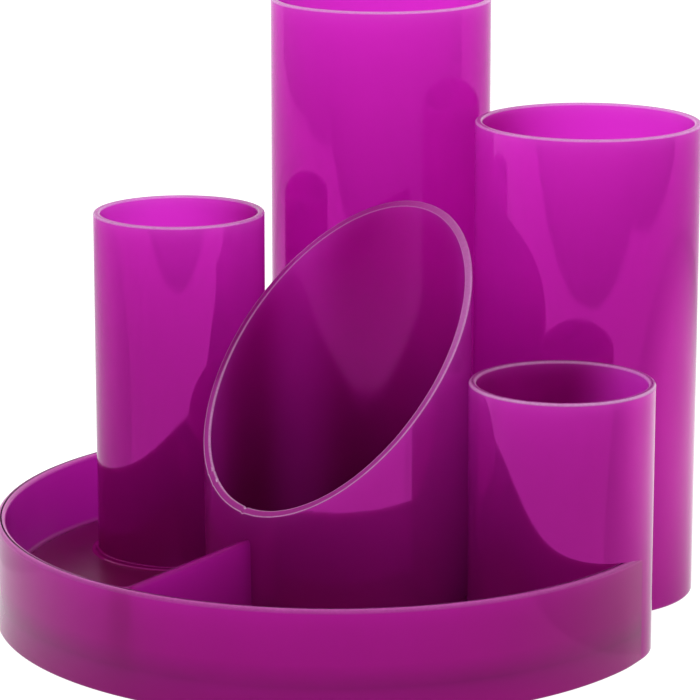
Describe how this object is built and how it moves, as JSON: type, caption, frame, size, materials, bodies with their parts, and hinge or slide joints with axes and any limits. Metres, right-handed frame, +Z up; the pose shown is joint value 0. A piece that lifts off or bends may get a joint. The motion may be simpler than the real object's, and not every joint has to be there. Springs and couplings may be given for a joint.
{
  "type": "desk tidy",
  "caption": "Round desk tidy: a low moulded tray with a divider holds a cluster of open upright tubes of different heights, one with a slanted mouth, for pens and clips.",
  "frame": {"origin": "on the desk, under the middle of the tidy's bounding box", "axes": "+Z up, -Y towards the user, where the tray's open front is, +X to the user's right"},
  "size_m": [0.1454, 0.14, 0.122],
  "materials": {
    "tray_plastic": "glossy, slightly translucent purple moulding",
    "tube_plastic": "glossy, slightly translucent purple tube with a pale cut edge"
  },
  "bodies": {
    "root": {"base_tray": "tray_plastic", "tall_tube": "tube_plastic", "right_tube": "tube_plastic", "right_tube_floor": "tube_plastic", "short_tube": "tube_plastic", "short_tube_floor": "tube_plastic", "left_tube": "tube_plastic", "slant_tube": "tube_plastic"}
  },
  "joints": []
}
